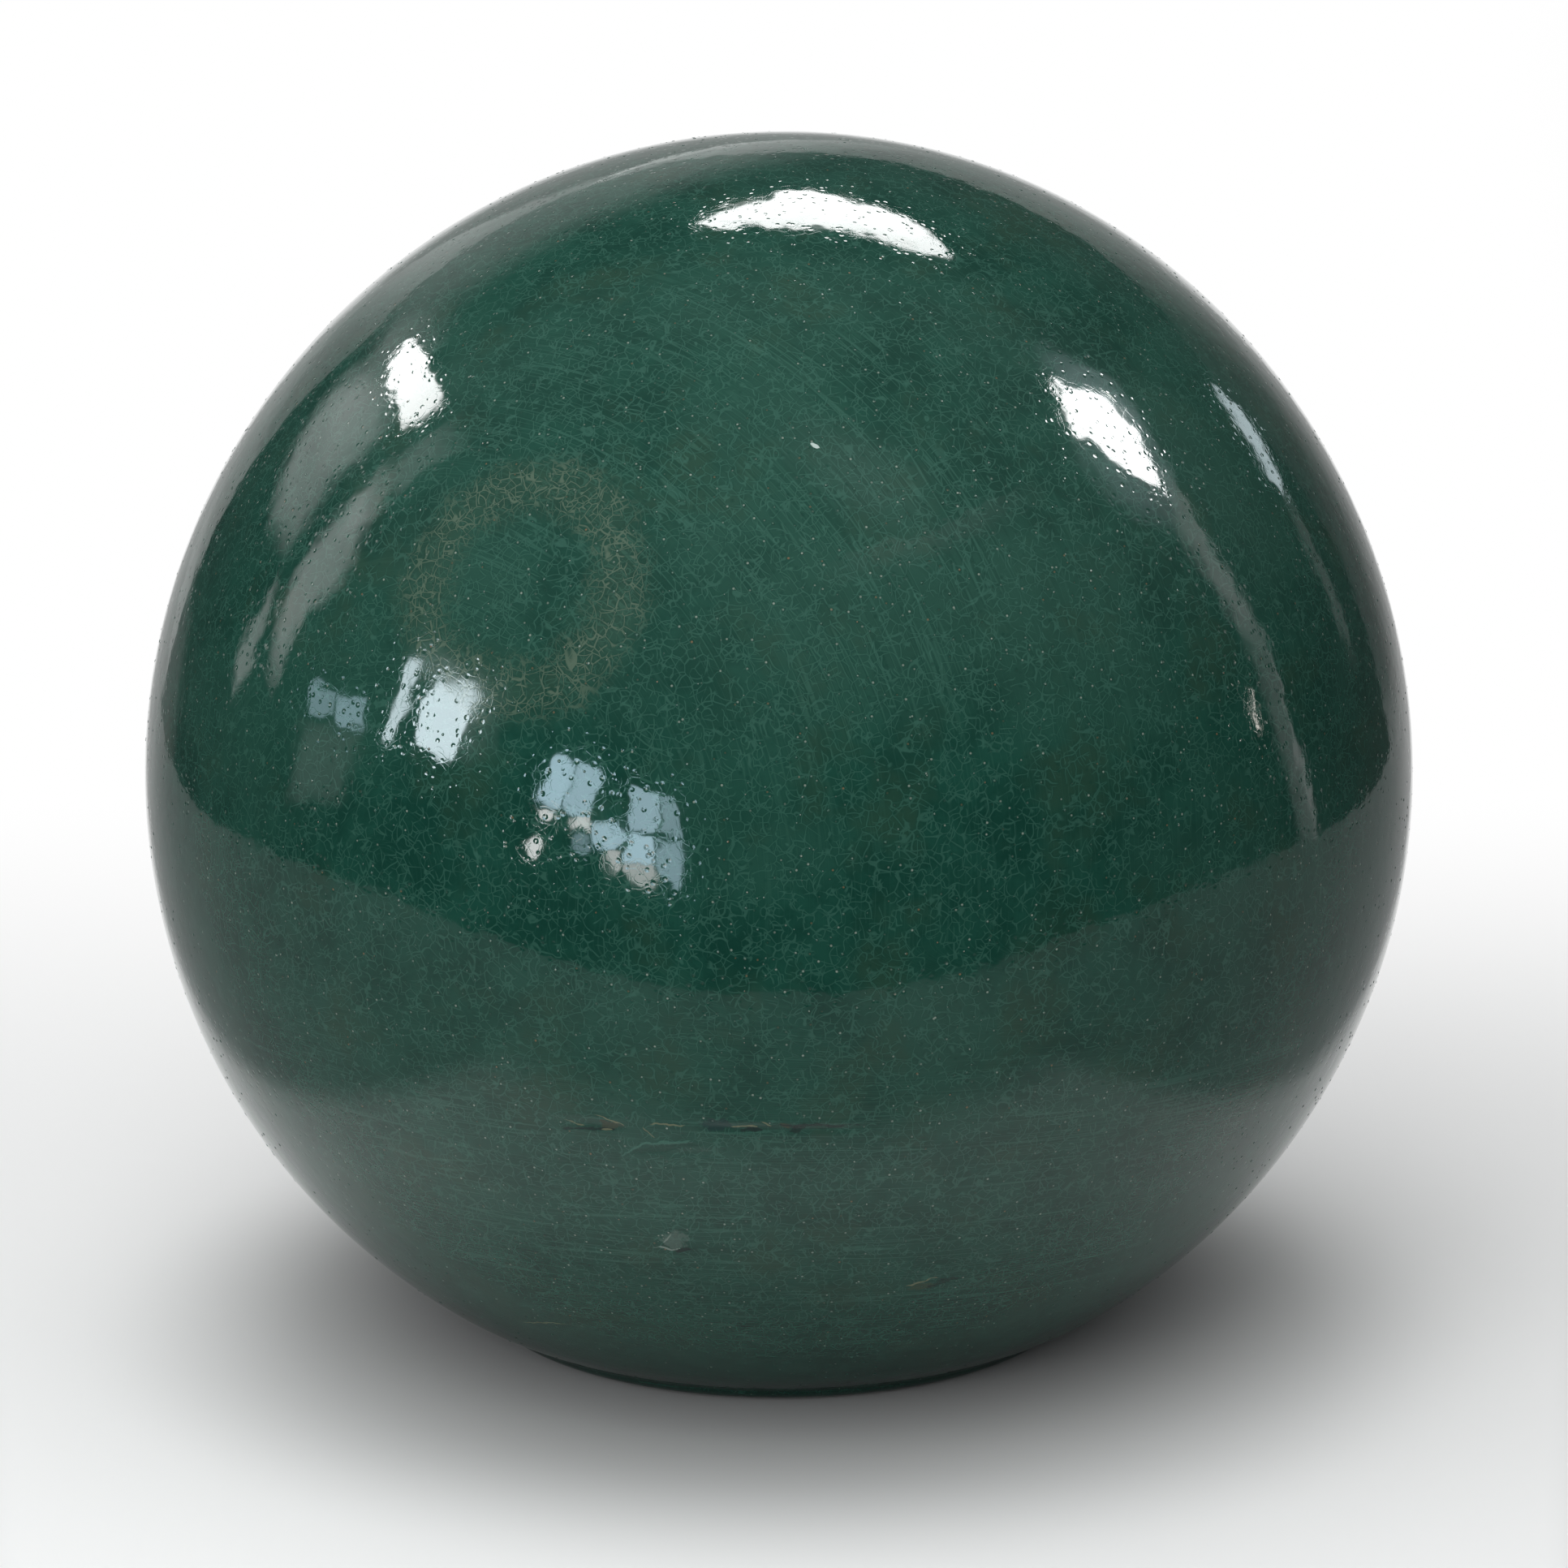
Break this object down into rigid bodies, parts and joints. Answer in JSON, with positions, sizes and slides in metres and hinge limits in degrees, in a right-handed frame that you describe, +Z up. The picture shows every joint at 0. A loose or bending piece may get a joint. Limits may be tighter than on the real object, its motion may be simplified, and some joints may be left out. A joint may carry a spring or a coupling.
{
  "type": "ceramic garden ball",
  "caption": "Hollow glazed ceramic ball, turned and joined from a bowl and a dome, that stands on a flat foot ring with a vent hole underneath.",
  "frame": {"origin": "middle of the flat foot, on the ground", "axes": "+Z up along the axis the ball was turned about; the pictured side faces -Y"},
  "size_m": [0.3, 0.2998, 0.2845],
  "materials": {
    "clay": "bare fired stoneware, dry and slightly gritty",
    "slip": "fired joining slip, matt",
    "glaze": "glossy dark green glass, finely crazed and pinholed"
  },
  "bodies": {
    "root": {"lower_bowl": "clay", "upper_dome": "clay", "joint_slip": "slip", "seam_coil": "clay", "glaze_coat": "glaze"}
  },
  "joints": []
}
